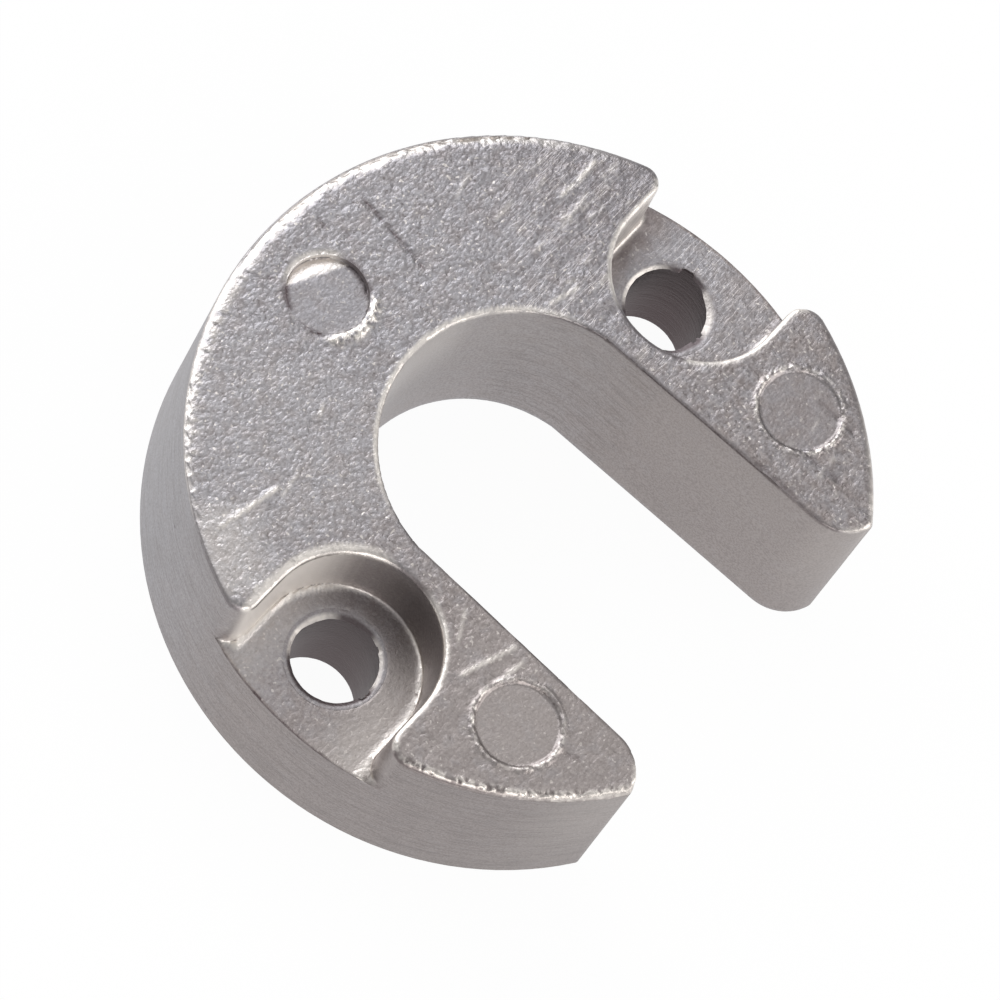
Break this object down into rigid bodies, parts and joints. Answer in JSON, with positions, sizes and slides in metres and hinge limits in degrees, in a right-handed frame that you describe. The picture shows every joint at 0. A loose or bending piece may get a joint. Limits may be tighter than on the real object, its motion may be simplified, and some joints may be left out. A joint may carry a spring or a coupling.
{
  "type": "sacrificial anode",
  "caption": "Horseshoe-shaped cast sacrificial anode with a through slot, bolt holes in open-sided pockets and a flat mounting face.",
  "frame": {"origin": "midway between the two bolt holes' axes, on the flat mounting face", "axes": "+Z from the mounting face to the front face, along the bolts; +X out of the slot's mouth; +Y from one bolt hole to the other"},
  "size_m": [0.0615, 0.067, 0.0219],
  "materials": {
    "cast_metal": "as-cast, satin walls and an orange-peel front face"
  },
  "bodies": {
    "root": {"anode": "cast_metal"}
  },
  "joints": []
}
